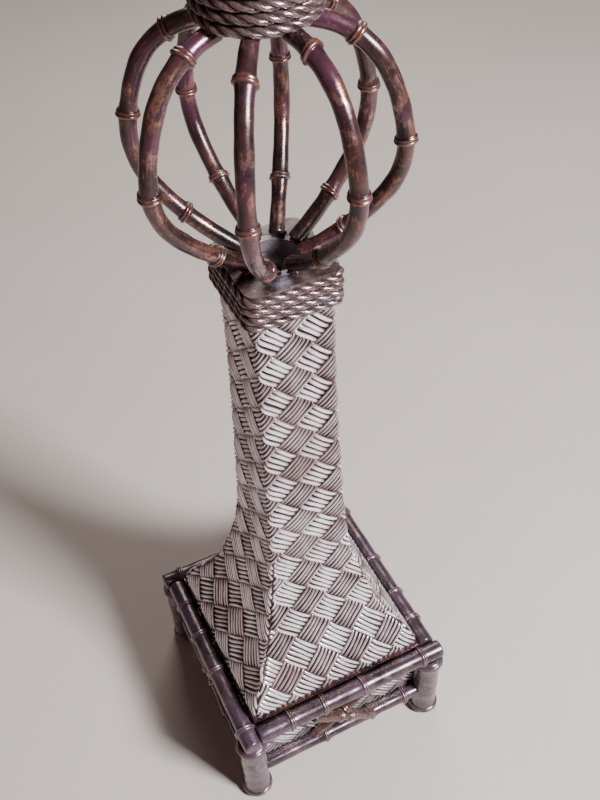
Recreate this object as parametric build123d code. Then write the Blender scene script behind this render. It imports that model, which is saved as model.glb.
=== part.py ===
from build123d import *
import os

# Ornamental bamboo-and-wicker torch stand, in millimetres.
# +Z is up and the origin is the middle of the four feet, on the ground.
# "front" is the -Y side, "right" the +X side, "back" the +Y side and "left" the -X side.

# ---- Driving dimensions -------------------------------------------------------------------
SIDES = {"front": 0, "right": 90, "back": 180, "left": 270}
CORNERS = {"front_left": 0, "front_right": 90, "back_right": 180, "back_left": 270}

# Plinth
PAD_R = 8.5
PAD_H = 2.5
POST_OFFSET = 70.5          # post axis from the middle, along X and along Y
POST_R = 9.8
POST_TOP = 73.5
POST_NODE_R = 11.0          # thickened bamboo nodes at the post's foot and head
POST_NODE_H = 6.0
TOP_RAIL_R = 6.5
UNDER_RAIL_R = 3.0
BOTTOM_RAIL_R = 5.2
BOTTOM_RAIL_Z = 29.0
TWIG_R = 3.8
TWIG_REACH = 25.0           # half-length of the crossed twigs along the side
TWIG_STEP = 4.0             # how far the falling twig lies in front of the rising one
PANEL_OUT = 65.0            # outer face of the woven side panels
PANEL_T = 2.5
CLOSURE_Z = 18.0            # underside of the plate that closes the plinth
CLOSURE_T = 3.0
DECK_T = 4.0
DECK_TOP = 84.5
BLOCK = 12.0                # side of the square glue blocks inside the corners
SCREW_R = 1.7
SCREW_HEAD_R = 3.4
SCREW_HEAD_H = 1.8
SCREW_L = 18.0

# Column: half-width of the square at each height above the deck
COLUMN_OUTLINE = [
    (65.0, 0.0), (59.0, 18.5), (46.5, 40.0), (37.0, 68.0),
    (29.6, 102.0), (25.8, 155.0), (23.6, 232.0), (23.4, 327.0),
]
WEAVE_T = 2.0
COLUMN_TOP = DECK_TOP + COLUMN_OUTLINE[-1][1]
PLATE_T = 3.5
PLATE_HALF = 25.0
PLATE_CORNER_R = 6.0
PLATE_TOP = COLUMN_TOP + PLATE_T
COLLAR_HALF = 27.7
COLLAR_TURNS = 4
ROPE_D = 5.0
ROPE_EDGE_R = 2.2

# Dish sunk in the column's head, and the hollow tie rod that pulls it down
DISH_R = 13.0
DISH_WALL = 1.2
DISH_FLOOR = 407.0
DISH_FLOOR_T = 1.5
DISH_RIM_R = 16.5
DISH_RIM_T = 0.8
POCKET_R = 14.6             # pocket in the column under the plate
POCKET_DEPTH = 12.5
ROD_R = 5.0
ROD_BORE_R = 3.6
ROD_HOLE_R = 5.3
WASHER_R = 10.0
WASHER_T = 1.5
NUT_FLATS = 14.0
NUT_H = 5.0
ROD_END = 2.5               # rod standing out of the lower nut

# Globe of eight ribs and the hub that closes it
RIB_COUNT = 8
RIB_TURN = 13.4             # degrees from the +X side to the first rib
RIB_R = 4.1
RIB_FOOT = (13.0, 418.15)   # radius and height of the rib's centre line
RIB_LOW = (53.0, 453.5)
RIB_WIDEST = (61.3, 482.5)
RIB_HIGH = (52.5, 513.5)
RIB_HEAD = (19.0, 535.3)
RIB_FOOT_SLOPE = (0.866, 0.5)   # the rib leaves the plate at 30 degrees
HUB_R = 20.0
HUB_BOTTOM = 534.7
HUB_TOP = 537.5

# Torch head
CUP_R = 23.6
CUP_BORE_R = 21.5
CUP_FLOOR_T = 2.0
CUP_TOP = 577.5
CROWN_R = 27.6
CROWN_TURNS = 8
CAN_R = 21.0
CAN_WALL = 1.0
CAN_BOTTOM = 540.5
CAN_FLANGE_R = 24.8
CAN_FLANGE_T = 2.0
CAN_SHOULDER_R = 19.5
CAN_SHOULDER_TOP = 587.5
NECK_R = 10.5
NECK_BORE_R = 9.0
NECK_TOP = 593.5
BURNER_FLANGE_R = 13.0
BURNER_FLANGE_T = 2.0
BURNER_PLUG_R = 8.6
BURNER_PLUG_L = 8.0
BURNER_TUBE_R = 6.0
BURNER_TUBE_TOP = 608.5
WICK_R = 3.5
WICK_BORE_R = 3.55
WICK_BOTTOM = 557.5
WICK_TOP = 612.5
CAP_R = 9.2
CAP_BORE_R = 7.2
CAP_BORE_TOP = 619.5
CAP_TOP = 621.5
KNOB_R = 3.6
KNOB_NECK_R = 2.0
KNOB_Z = 624.9


# ---- Shared shapes ------------------------------------------------------------------------
def disc(radius, bottom, top):
    """Upright cylinder on the Z axis."""
    return Pos(0, 0, bottom) * extrude(Circle(radius), amount=top - bottom)


def slab(half, bottom, top):
    """Square block on the Z axis."""
    return Pos(0, 0, bottom) * extrude(Rectangle(2 * half, 2 * half), amount=top - bottom)


def stick(start, end, radius):
    """Round bar from one point to another."""
    run = Vector(*end) - Vector(*start)
    return Solid.make_cylinder(radius, run.length, Plane(origin=start, z_dir=run))


def turned(half_section):
    """Solid of revolution about Z from a closed outline of (radius, height) points."""
    outline = make_face(Polyline(*half_section, close=True))
    return revolve(Plane.XZ * outline, axis=Axis.Z)


def rope_turns(section, turns, bottom):
    """Stack of rope turns, each a slab of the given section with its rims rounded."""
    stack = None
    for turn in range(turns):
        one = extrude(section, amount=ROPE_D)
        rims = one.faces().sort_by(Axis.Z)[0].edges() + one.faces().sort_by(Axis.Z)[-1].edges()
        one = Pos(0, 0, bottom + turn * ROPE_D) * fillet(rims, ROPE_EDGE_R)
        stack = one if stack is None else stack + one
    return stack


def save(name, shape):
    """Write one piece to its own file."""
    export_step(shape, f"parts/{name}.step")


# ---- Plinth -------------------------------------------------------------------------------
def corner_post():
    """Short upright bamboo at the front left corner."""
    post = disc(POST_R, PAD_H, POST_TOP)
    for bottom in (PAD_H, POST_TOP - POST_NODE_H):
        post += chamfer(disc(POST_NODE_R, bottom, bottom + POST_NODE_H).edges(), 1.0)
    return Pos(-POST_OFFSET, -POST_OFFSET, 0) * post


def glide_pad():
    """Felt disc under the front left post."""
    return Pos(-POST_OFFSET, -POST_OFFSET, 0) * extrude(Circle(PAD_R), amount=PAD_H)


def top_rail():
    """Thick rail along the front edge; it butts on the left rail and passes the right one."""
    rail_y = -(PANEL_OUT + 0.2 + TOP_RAIL_R)
    rail_z = POST_TOP + TOP_RAIL_R
    start = -(PANEL_OUT + 0.2)
    end = POST_OFFSET + POST_R - 1.0
    return stick((start, rail_y, rail_z), (end, rail_y, rail_z), TOP_RAIL_R)


def under_rail(posts):
    """Thin rail between the posts, straight below the top rail."""
    rail_y = -(PANEL_OUT + UNDER_RAIL_R)
    rail_z = POST_TOP - UNDER_RAIL_R
    return stick((-POST_OFFSET, rail_y, rail_z), (POST_OFFSET, rail_y, rail_z), UNDER_RAIL_R) - posts


def bottom_rail(posts):
    """Rail between the posts, near the ground."""
    rail_y = -(PANEL_OUT + BOTTOM_RAIL_R)
    start = (-POST_OFFSET, rail_y, BOTTOM_RAIL_Z)
    end = (POST_OFFSET, rail_y, BOTTOM_RAIL_Z)
    return stick(start, end, BOTTOM_RAIL_R) - posts


def crossed_twigs(rails):
    """Rising and falling twig that cross in the middle of the front side, notched over each
    other and coped to the rails."""
    rising_y = -(PANEL_OUT + TWIG_R)
    falling_y = rising_y - TWIG_STEP
    low, high = BOTTOM_RAIL_Z, POST_TOP + 1.0
    rising = stick((-TWIG_REACH, rising_y, low), (TWIG_REACH, rising_y, high), TWIG_R)
    falling = stick((TWIG_REACH, falling_y, low), (-TWIG_REACH, falling_y, high), TWIG_R) - rising
    return [(twig - rails).solids().sort_by(SortBy.VOLUME)[-1] for twig in (rising, falling)]


def side_panel(half_length, posts):
    """Woven panel that closes the front side behind the rails."""
    bottom = CLOSURE_Z + CLOSURE_T
    height = DECK_TOP - DECK_T - bottom
    panel = Box(2 * half_length, PANEL_T, height, align=(Align.CENTER, Align.MIN, Align.MIN))
    return Pos(0, -PANEL_OUT, bottom) * panel - posts


def corner_block(screws):
    """Glue block inside the front left corner."""
    bottom = CLOSURE_Z + CLOSURE_T
    edge = PANEL_OUT - PANEL_T
    block = Box(BLOCK, BLOCK, DECK_TOP - DECK_T - bottom, align=(Align.MIN, Align.MIN, Align.MIN))
    return Pos(-edge, -edge, bottom) * block - screws


def closure_screw():
    """Screw up through the closure plate into the front left block."""
    axis = PANEL_OUT - PANEL_T - BLOCK / 2
    screw = disc(SCREW_R, CLOSURE_Z, CLOSURE_Z + SCREW_L)
    screw += disc(SCREW_HEAD_R, CLOSURE_Z - SCREW_HEAD_H, CLOSURE_Z)
    return Pos(-axis, -axis, 0) * screw


def round_the_corners(piece):
    """The same piece at all four corners, as one group."""
    return Compound(children=[Rot(0, 0, angle) * piece for angle in CORNERS.values()])


# ---- Column -------------------------------------------------------------------------------
def flared_column(inset):
    """Square column whose four sides follow the flared outline, drawn in by inset."""
    points = [(half - inset, DECK_TOP + rise) for half, rise in COLUMN_OUTLINE]
    right = Spline(*points)
    left = mirror(right, about=Plane.YZ)
    lid = Line(right @ 1, left @ 1)
    base = Line(left @ 0, right @ 0)
    outline = make_face([right, lid, left, base])
    slab_xz = extrude(Plane.XZ * outline, amount=2 * PANEL_OUT, both=True)
    return slab_xz & Rot(0, 0, 90) * slab_xz


def rounded_slab(half, corner_r, bottom, top):
    """Square block on the Z axis with rounded corners."""
    return Pos(0, 0, bottom) * extrude(RectangleRounded(2 * half, 2 * half, corner_r), amount=top - bottom)


def top_plate():
    """Square metal plate on the column's head, with a round hole for the dish."""
    plate = rounded_slab(PLATE_HALF, PLATE_CORNER_R, COLUMN_TOP, PLATE_TOP)
    return plate - disc(DISH_R + DISH_WALL, COLUMN_TOP, PLATE_TOP)


def head_dish():
    """Shallow dish in the plate's hole; its rim rests on the plate and its floor takes the rod."""
    rim_top = PLATE_TOP + DISH_RIM_T
    outer = DISH_R + DISH_WALL
    under = DISH_FLOOR - DISH_FLOOR_T
    return turned([
        (ROD_R, under), (outer, under), (outer, PLATE_TOP), (DISH_RIM_R, PLATE_TOP),
        (DISH_RIM_R, rim_top), (DISH_R, rim_top), (DISH_R, DISH_FLOOR), (ROD_R, DISH_FLOOR),
    ])


def collar_rope(skin):
    """Rope wound round the column's head, with its top turn round the plate."""
    square = RectangleRounded(2 * COLLAR_HALF, 2 * COLLAR_HALF, PLATE_CORNER_R + 1.5)
    wound = rope_turns(square, COLLAR_TURNS, PLATE_TOP - 1.0 - COLLAR_TURNS * ROPE_D)
    return wound - skin - rounded_slab(PLATE_HALF, PLATE_CORNER_R, COLUMN_TOP, PLATE_TOP)


def nut(bottom):
    """Hexagon nut on the tie rod."""
    hexagon = RegularPolygon(NUT_FLATS / 2, 6, major_radius=False)
    return Pos(0, 0, bottom) * extrude(hexagon, amount=NUT_H) - disc(ROD_R, bottom, bottom + NUT_H)


def washer(bottom):
    """Washer on the tie rod."""
    return disc(WASHER_R, bottom, bottom + WASHER_T) - disc(ROD_HOLE_R, bottom, bottom + WASHER_T)


# ---- Globe --------------------------------------------------------------------------------
def rib():
    """One curved bamboo rib in the XZ plane, of four arcs that meet without a kink."""
    low = TangentArc(RIB_FOOT, RIB_LOW, tangent=RIB_FOOT_SLOPE)
    belly = TangentArc(RIB_LOW, RIB_WIDEST, tangent=low % 1)
    shoulder = TangentArc(RIB_WIDEST, RIB_HIGH, tangent=belly % 1)
    head = TangentArc(RIB_HIGH, RIB_HEAD, tangent=shoulder % 1)
    path = Plane.XZ * Wire([low, belly, shoulder, head])
    section = Plane(origin=path @ 0, z_dir=path % 0) * Circle(RIB_R)
    return sweep(section, path=path)


# ---- Torch head ---------------------------------------------------------------------------
def torch_cup():
    """Open cup on the hub that holds the fuel canister."""
    return disc(CUP_R, HUB_TOP, CUP_TOP) - disc(CUP_BORE_R, HUB_TOP + CUP_FLOOR_T, CUP_TOP)


def fuel_canister():
    """Thin metal can with a flange that rests on the cup's rim, a sloped shoulder and a neck."""
    flange_top = CUP_TOP + CAN_FLANGE_T
    inner = CAN_R - CAN_WALL
    return turned([
        (0, CAN_BOTTOM), (CAN_R, CAN_BOTTOM), (CAN_R, CUP_TOP), (CAN_FLANGE_R, CUP_TOP),
        (CAN_FLANGE_R, flange_top), (CAN_SHOULDER_R, flange_top), (NECK_R, CAN_SHOULDER_TOP),
        (NECK_R, NECK_TOP), (NECK_BORE_R, NECK_TOP), (NECK_BORE_R, CAN_SHOULDER_TOP - CAN_WALL),
        (CAN_SHOULDER_R - CAN_WALL, flange_top - CAN_WALL), (inner, CUP_TOP - CAN_WALL),
        (inner, CAN_BOTTOM + CAN_WALL), (0, CAN_BOTTOM + CAN_WALL),
    ])


def burner_collar():
    """Drop-in burner: a flange on the neck, a plug inside it and a tube for the wick."""
    flange_top = NECK_TOP + BURNER_FLANGE_T
    body = disc(BURNER_FLANGE_R, NECK_TOP, flange_top)
    body += disc(BURNER_PLUG_R, NECK_TOP - BURNER_PLUG_L, NECK_TOP)
    body += disc(BURNER_TUBE_R, flange_top, BURNER_TUBE_TOP)
    return body - disc(WICK_BORE_R, NECK_TOP - BURNER_PLUG_L, BURNER_TUBE_TOP)


def snuffer_cap():
    """Cap that stands on the burner's flange over the wick, with a small knob."""
    cap = disc(CAP_R, NECK_TOP + BURNER_FLANGE_T, CAP_TOP)
    cap -= disc(CAP_BORE_R, NECK_TOP + BURNER_FLANGE_T, CAP_BORE_TOP)
    cap += disc(KNOB_NECK_R, CAP_TOP, KNOB_Z)
    return cap + Pos(0, 0, KNOB_Z) * Sphere(KNOB_R)


# ---- Build and write ----------------------------------------------------------------------
def build_plinth():
    post = corner_post()
    posts = round_the_corners(post)
    screws = round_the_corners(closure_screw())
    for corner, angle in CORNERS.items():
        save(f"corner_post_{corner}", Rot(0, 0, angle) * post)
        save(f"corner_block_{corner}", Rot(0, 0, angle) * corner_block(screws))
    front_rails = Compound(children=[top_rail(), under_rail(posts), bottom_rail(posts)])
    rising_twig, falling_twig = crossed_twigs(front_rails)
    for side, angle in SIDES.items():
        place = Rot(0, 0, angle)
        long_side = side in ("front", "back")
        half_length = PANEL_OUT if long_side else PANEL_OUT - PANEL_T
        save(f"top_rail_{side}", place * top_rail())
        save(f"under_rail_{side}", place * under_rail(posts))
        save(f"bottom_rail_{side}", place * bottom_rail(posts))
        save(f"rising_twig_{side}", place * rising_twig)
        save(f"falling_twig_{side}", place * falling_twig)
        save(f"side_panel_{side}", place * side_panel(half_length, posts))
    save("glide_pads", round_the_corners(glide_pad()))
    save("closure_screws", screws)
    save("closure_plate", slab(PANEL_OUT, CLOSURE_Z, CLOSURE_Z + CLOSURE_T) - posts - screws)
    deck_bottom = DECK_TOP - DECK_T
    save("deck_plate", slab(PANEL_OUT, deck_bottom, DECK_TOP) - disc(ROD_HOLE_R, deck_bottom, DECK_TOP))


def build_column():
    skin = flared_column(0)
    core = flared_column(WEAVE_T)
    pocket = disc(POCKET_R, COLUMN_TOP - POCKET_DEPTH, COLUMN_TOP)
    save("column_core", core - disc(ROD_HOLE_R, DECK_TOP, COLUMN_TOP) - pocket)
    save("woven_cover", skin - core)
    save("top_plate", top_plate())
    save("head_dish", head_dish())
    save("collar_rope", collar_rope(skin))
    washer_bottom = DECK_TOP - DECK_T - WASHER_T
    lower_nut = washer_bottom - NUT_H
    upper_nut = DISH_FLOOR - DISH_FLOOR_T - NUT_H
    rod_bottom = lower_nut - ROD_END
    save("tie_rod", disc(ROD_R, rod_bottom, DISH_FLOOR) - disc(ROD_BORE_R, rod_bottom, DISH_FLOOR))
    save("rod_washer", washer(washer_bottom))
    save("rod_nuts", Compound(children=[nut(lower_nut), nut(upper_nut)]))


def build_globe():
    hub = disc(HUB_R, HUB_BOTTOM, HUB_TOP)
    below = slab(PLATE_HALF, COLUMN_TOP, PLATE_TOP) + disc(DISH_RIM_R, PLATE_TOP, PLATE_TOP + DISH_RIM_T)
    above = hub + disc(CROWN_R, HUB_TOP, CUP_TOP)
    coped_rib = rib() - below - above
    save("crown_hub", hub)
    for number in range(RIB_COUNT):
        save(f"rib_{number + 1}", Rot(0, 0, RIB_TURN + number * 360 / RIB_COUNT) * coped_rib)


def build_torch_head():
    save("torch_cup", torch_cup())
    save("crown_rope", rope_turns(Circle(CROWN_R), CROWN_TURNS, HUB_TOP) - disc(CUP_R, HUB_TOP, CUP_TOP))
    save("fuel_canister", fuel_canister())
    save("burner_collar", burner_collar())
    save("wick", disc(WICK_R, WICK_BOTTOM, WICK_TOP))
    save("snuffer_cap", snuffer_cap())


os.makedirs("parts", exist_ok=True)
build_plinth()
build_column()
build_globe()
build_torch_head()
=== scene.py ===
import math
import bpy
import numpy as np
from mathutils import Matrix, Vector


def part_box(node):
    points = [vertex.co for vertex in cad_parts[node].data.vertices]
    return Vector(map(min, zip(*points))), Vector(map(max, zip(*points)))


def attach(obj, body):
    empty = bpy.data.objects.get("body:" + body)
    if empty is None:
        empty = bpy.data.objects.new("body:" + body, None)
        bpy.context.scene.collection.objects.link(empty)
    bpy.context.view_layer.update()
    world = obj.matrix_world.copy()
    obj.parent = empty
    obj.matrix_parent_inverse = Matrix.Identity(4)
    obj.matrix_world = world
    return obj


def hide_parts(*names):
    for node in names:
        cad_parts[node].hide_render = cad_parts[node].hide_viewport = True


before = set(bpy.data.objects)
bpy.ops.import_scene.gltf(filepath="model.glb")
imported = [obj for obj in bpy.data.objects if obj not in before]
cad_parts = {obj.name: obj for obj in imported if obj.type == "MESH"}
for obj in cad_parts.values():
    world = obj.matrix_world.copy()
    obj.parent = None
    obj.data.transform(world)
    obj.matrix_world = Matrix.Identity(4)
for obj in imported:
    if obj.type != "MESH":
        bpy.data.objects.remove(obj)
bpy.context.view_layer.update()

# Everything is worked out in millimetres and written to the meshes in metres.
MM = 0.001
RANDOM = np.random.default_rng(7)


def corner_of(node):
    """Lowest and highest corners of a CAD node, in millimetres."""
    low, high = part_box(node)
    return np.array(low) / MM, np.array(high) / MM


# ---- Driving dimensions, read from the frame where it has them ----------------------------
SIDES = {"front": 0, "right": 90, "back": 180, "left": 270}
CORNERS = {"front_left": 0, "front_right": 90, "back_right": 180, "back_left": 270}
DECK_TOP = corner_of("deck_plate")[1][2]
PLATE_TOP = corner_of("top_plate")[1][2]
COLLAR_LOW, COLLAR_HIGH = corner_of("collar_rope")
CROWN_LOW, CROWN_HIGH = corner_of("crown_rope")

# Half-width of the column at each height above the deck, as the CAD outline has it
COLUMN_OUTLINE = [
    (65.0, 0.0), (59.0, 18.5), (46.5, 40.0), (37.0, 68.0),
    (29.6, 102.0), (25.8, 155.0), (23.6, 232.0), (23.4, 327.0),
]


# ---- Growing a mesh -----------------------------------------------------------------------
SHARP_ANGLE = math.radians(50)      # edges that turn more than this stay sharp
TUBE_GRAIN = 0.05                   # how fast a tube's grain runs along it, for each millimetre


class Shape:
    """Vertices and faces with two values for the materials: crest is 0 in a groove and 1 on a ridge, and
    on the woven reeds it also carries painted shade and a painted highlight; grain is a point whose first
    value runs slowly along the strand."""

    def __init__(self):
        self.points = []
        self.faces = []
        self.crest = []
        self.grain = []
        self.total = 0

    def add(self, points, faces, crest, grain):
        """Add a patch, with its faces numbered from the patch's own first point."""
        points = np.asarray(points, float).reshape(-1, 3)
        self.points.append(points)
        self.faces.extend((np.asarray(faces) + self.total).tolist())
        self.crest.append(np.broadcast_to(np.asarray(crest, float).ravel(), len(points)))
        self.grain.append(np.asarray(grain, float).reshape(-1, 3))
        self.total += len(points)

    def piece(self, name, material, *nodes, slot, body="stand"):
        """Make the object; it stands for the CAD nodes and rides on their body."""
        mesh = bpy.data.meshes.new(name)
        mesh.from_pydata((np.concatenate(self.points) * MM).tolist(), [], self.faces)
        mesh.validate()
        mesh.update()
        mesh.attributes.new("crest", "FLOAT", "POINT").data.foreach_set(
            "value", np.concatenate(self.crest).astype(np.float32))
        mesh.attributes.new("grain", "FLOAT_VECTOR", "POINT").data.foreach_set(
            "vector", np.concatenate(self.grain).astype(np.float32).ravel())
        mesh.polygons.foreach_set("use_smooth", [True] * len(mesh.polygons))
        mesh.set_sharp_from_angle(angle=SHARP_ANGLE)
        mesh.materials.append(material)
        made = bpy.data.objects.new(name, mesh)
        bpy.context.scene.collection.objects.link(made)
        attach(made, body)
        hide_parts(*nodes)


def grid_faces(rows, columns, wrap):
    """Quads over a grid of points, wrapping round the columns when the section is closed."""
    across = np.arange(columns if wrap else columns - 1)
    along = np.arange(rows - 1)[:, None]
    next_across = (across + 1) % columns
    quads = np.stack([
        along * columns + across, along * columns + next_across,
        (along + 1) * columns + next_across, (along + 1) * columns + across], -1)
    return quads.reshape(-1, 4)


def turn_z(points, degrees):
    """Points turned about the Z axis."""
    angle = math.radians(degrees)
    c, s = math.cos(angle), math.sin(angle)
    points = np.asarray(points, float)
    x, y = points[..., 0], points[..., 1]
    return np.stack([c * x - s * y, s * x + c * y, points[..., 2]], -1)


def lengths(path):
    """Distance along a path at each of its points."""
    steps = np.linalg.norm(np.diff(path, axis=0), axis=1)
    return np.concatenate([[0.0], np.cumsum(steps)])


def resample(path, places):
    """Points of a path at the given distances along it."""
    along = lengths(path)
    return np.stack([np.interp(places, along, path[:, k]) for k in range(3)], -1)


def frames(path):
    """Two directions square to the path at each point, turning as little as they can."""
    tangent = np.gradient(path, axis=0)
    tangent /= np.linalg.norm(tangent, axis=1)[:, None]
    start = np.array([0.0, 0.0, 1.0])
    if abs(tangent[0] @ start) > 0.9:
        start = np.array([1.0, 0.0, 0.0])
    normal = np.zeros_like(path)
    for k in range(len(path)):
        start = start - tangent[k] * (start @ tangent[k])
        start /= np.linalg.norm(start)
        normal[k] = start
    return normal, np.cross(tangent, normal)


def add_tube(shape, path, radius, sides, crest, seed, normals=None):
    """Tube along a path with closed ends. radius and crest are arrays over (point, side)."""
    count = len(path)
    normal, binormal = normals if normals else frames(path)
    angle = np.linspace(0, 2 * np.pi, sides, endpoint=False)
    ring = (normal[:, None] * np.cos(angle)[None, :, None]
            + binormal[:, None] * np.sin(angle)[None, :, None])
    points = path[:, None] + ring * radius[..., None]
    along = lengths(path)
    grain = np.stack(np.broadcast_arrays(
        along[:, None] * TUBE_GRAIN + seed, np.cos(angle)[None] + seed, np.sin(angle)[None]), -1)
    shape.add(points, grid_faces(count, sides, True), crest, grain)
    for end in (0, count - 1):
        rim = end * sides + np.arange(sides)
        loop = rim[::-1] if end == 0 else rim
        shape.faces.append((loop + shape.total - count * sides).tolist())


# ---- Bamboo -------------------------------------------------------------------------------
NODE_RIDGE = 0.95           # half-width of each of a node's two ridges
NODE_HEIGHT = 1.15          # how far a ridge stands out of the cane
NODE_RIDGES = ((-0.85, 1.0), (0.95, 0.72))      # place in half-widths and share of the height
NODE_SWELL = 0.45           # swelling of the cane at a node
NODE_SWELL_REACH = 3.4      # how far along the cane the swelling reaches
NODE_SPAN = 4.0             # the mesh is fine this far on each side of a node
NODE_STEP = 0.24            # spacing of its rings there
CANE_STEP = 1.6             # spacing of its rings elsewhere
CANE_SIDES = 28
NODE_WAVE = 0.15            # how far a node's ring wanders from a flat circle
SLOW_WAVE = (0.12, 0.19)    # height of the cane's slow swelling, and its turn for each millimetre
QUICK_WAVE = (0.06, 0.47)   # the same for its quick swelling
END_ROUND = 1.6             # rounding of a cane's cut end
END_DROP = 0.34             # share of the radius lost at the very end
CANE_CREST = 0.35           # the cane's wear between its nodes


def node_profile(offset):
    """Radius added near a node, at a distance along the cane, and its wear."""
    swell = NODE_SWELL * np.exp(-(offset / NODE_SWELL_REACH) ** 2)
    ridges = np.zeros_like(offset)
    for place, height in NODE_RIDGES:
        inside = np.clip(1 - ((offset - place * NODE_RIDGE) / NODE_RIDGE) ** 2, 0, 1)
        ridges = np.maximum(ridges, height * np.sqrt(inside))
    return swell + NODE_HEIGHT * ridges, ridges


def add_cane(shape, path, radius, nodes, seed, scale, sides=CANE_SIDES, tilt=0.35):
    """Bamboo cane along a path, with a double-ridged ring at each node. scale sizes the nodes,
    and tilt is how far their rings lean along the cane."""
    length = lengths(path)[-1]
    places = [np.arange(0, length, CANE_STEP), [length]]
    for node in nodes:
        places.append(np.arange(node - NODE_SPAN, node + NODE_SPAN, NODE_STEP))
    for end, inward in ((0.0, 1), (length, -1)):
        places.append(end + inward * END_ROUND * (1 - np.cos(np.linspace(0, np.pi / 2, 7))))
    places = np.unique(np.round(np.clip(np.concatenate(places), 0, length), 3))
    centres = resample(path, places)
    angle = np.linspace(0, 2 * np.pi, sides, endpoint=False)
    shift = np.sin(angle * 2 + seed) * NODE_WAVE
    grown = np.zeros((len(places), sides))
    wear_and_painted_light = np.zeros((len(places), sides))
    for index, node in enumerate(nodes):
        lean = tilt * np.cos(angle + seed * 3 + index * 2.1) * scale
        extra, ridge = node_profile((places[:, None] - node - lean - shift) / scale)
        grown = np.maximum(grown, extra * scale)
        wear_and_painted_light = np.maximum(wear_and_painted_light, ridge)
    waist = (SLOW_WAVE[0] * np.sin(places * SLOW_WAVE[1] + seed)[:, None]
             + QUICK_WAVE[0] * np.sin(places * QUICK_WAVE[1] + seed * 2)[:, None])
    cane = radius + waist * scale + grown
    to_end = np.minimum(places, length - places)[:, None]
    near = np.clip(1 - to_end / END_ROUND, 0, 1)
    cane = cane * (1 - END_DROP * (1 - np.sqrt(np.clip(1 - near ** 2, 0, 1))))
    crest = CANE_CREST + (1 - CANE_CREST) * wear_and_painted_light
    add_tube(shape, centres, cane, sides, crest, seed)


def straight(start, end):
    """Evenly spaced points on a straight run."""
    steps = np.linspace(0, 1, 24)[:, None]
    return np.asarray(start, float) * (1 - steps) + np.asarray(end, float) * steps


# ---- Materials ----------------------------------------------------------------------------
# Noise scales are for a metre, or for a unit of grain where the noise runs over the grain.
COPPER_RUB_AND_GLINT = (0.62, 0.27, 0.17)         # copper where bronze paint is rubbed, and on the rope's crests a painted glint
SILVER_RUB_AND_GLINT = (0.60, 0.54, 0.58)         # silver that shows there, and on the rope's crests a painted glint
GROOVE_SHADE = (0.012, 0.008, 0.008)           # painted shade at the bottom of grooves
REED_STAIN = (0.30, 0.20, 0.185)        # brown stains on the silvered reeds
CAST_BLUE = (0.25, 0.24, 0.31)          # bluish-grey patches on castings
CAST_RUB = (0.50, 0.36, 0.31)           # rubbed specks on castings


class Paint:
    """A small builder for procedural materials."""

    def __init__(self, name, metallic, roughness, specular=0.5, coat=0.0):
        self.material = bpy.data.materials.new(name)
        self.material.use_nodes = True
        self.tree = self.material.node_tree
        self.shader = self.tree.nodes["Principled BSDF"]
        self.shader.inputs["Metallic"].default_value = metallic
        self.shader.inputs["Roughness"].default_value = roughness
        self.shader.inputs["Specular IOR Level"].default_value = specular
        self.shader.inputs["Coat Weight"].default_value = coat
        self.shader.inputs["Coat Roughness"].default_value = 0.25
        self.place = self.tree.nodes.new("ShaderNodeTexCoord").outputs["Object"]

    def link(self, source, target):
        """Join two sockets."""
        self.tree.links.new(source, target)

    def noise(self, scale, detail, rough=0.55, vector=None, distortion=0.0):
        """Noise from 0 to 1 in the object's own space, or over another vector."""
        node = self.tree.nodes.new("ShaderNodeTexNoise")
        node.inputs["Scale"].default_value = scale
        node.inputs["Detail"].default_value = detail
        node.inputs["Roughness"].default_value = rough
        node.inputs["Distortion"].default_value = distortion
        self.link(vector or self.place, node.inputs["Vector"])
        return node.outputs["Fac"]

    def attribute(self, name, output):
        """A value that the mesh carries."""
        node = self.tree.nodes.new("ShaderNodeAttribute")
        node.attribute_name = name
        return node.outputs[output]

    def ramp(self, value, stops):
        """Colour that runs through (value, colour) stops."""
        node = self.tree.nodes.new("ShaderNodeValToRGB")
        ramp = node.color_ramp
        while len(ramp.elements) < len(stops):
            ramp.elements.new(0.5)
        for element, (place, colour) in zip(ramp.elements, stops):
            element.position = place
            element.color = (*colour, 1.0)
        self.link(value, node.inputs["Fac"])
        return node.outputs["Color"]

    def mix(self, fac, first, second):
        """Blend of two colours or values; each argument is a socket, a number or a colour."""
        node = self.tree.nodes.new("ShaderNodeMix")
        node.data_type = "RGBA"
        for value, slot in ((fac, 0), (first, 6), (second, 7)):
            if isinstance(value, (int, float)):
                node.inputs[slot].default_value = value
            elif isinstance(value, tuple):
                node.inputs[slot].default_value = (*value, 1.0)
            else:
                self.link(value, node.inputs[slot])
        return node.outputs[2]

    def math(self, kind, first, second):
        """Sum, product or maximum of two sockets or numbers."""
        node = self.tree.nodes.new("ShaderNodeMath")
        node.operation = kind
        for value, slot in ((first, 0), (second, 1)):
            if isinstance(value, (int, float)):
                node.inputs[slot].default_value = value
            else:
                self.link(value, node.inputs[slot])
        return node.outputs[0]

    def span(self, value, low, high, new_low, new_high):
        """Value stretched from one range to another and held at its ends."""
        node = self.tree.nodes.new("ShaderNodeMapRange")
        for slot, number in zip(range(1, 5), (low, high, new_low, new_high)):
            node.inputs[slot].default_value = number
        self.link(value, node.inputs[0])
        return node.outputs[0]

    def bump(self, height, strength, distance):
        """Fine relief, with its depth in metres."""
        node = self.tree.nodes.new("ShaderNodeBump")
        node.inputs["Strength"].default_value = strength
        node.inputs["Distance"].default_value = distance
        self.link(height, node.inputs["Height"])
        self.link(node.outputs["Normal"], self.shader.inputs["Normal"])

    def colour(self, value):
        """Drive the base colour."""
        self.link(value, self.shader.inputs["Base Color"])

    def roughness(self, value):
        """Drive the roughness."""
        self.link(value, self.shader.inputs["Roughness"])


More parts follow.
